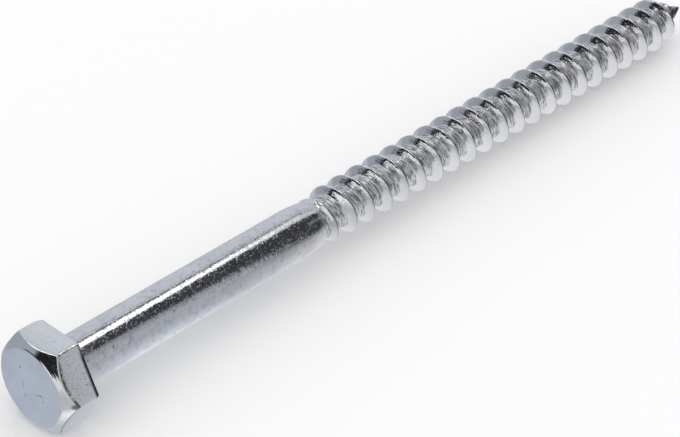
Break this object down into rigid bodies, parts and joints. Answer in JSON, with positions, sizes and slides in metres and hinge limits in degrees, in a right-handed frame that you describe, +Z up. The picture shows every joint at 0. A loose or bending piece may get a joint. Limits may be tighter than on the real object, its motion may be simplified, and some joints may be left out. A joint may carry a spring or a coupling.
{
  "type": "lag screw",
  "caption": "Hexagon head lag screw lying at rest: chamfered hexagon head, plain round shank, coarse right-hand wood thread with run-out, gimlet point.",
  "frame": {"origin": "on the surface that the screw lies on, under the middle of its bounding box", "axes": "+X along the screw from the head to the point, with the screw's own axis sloping 1.23 degrees down towards the point as it lies; +Z up, with one flat of the head facing up"},
  "size_m": [0.1692, 0.019, 0.0167],
  "materials": {
    "zinc_plated_steel": "bright blue-white zinc plating, fine orange peel on the shank, rolling lines in the thread"
  },
  "bodies": {
    "root": {"lag_screw": "zinc_plated_steel"}
  },
  "joints": []
}
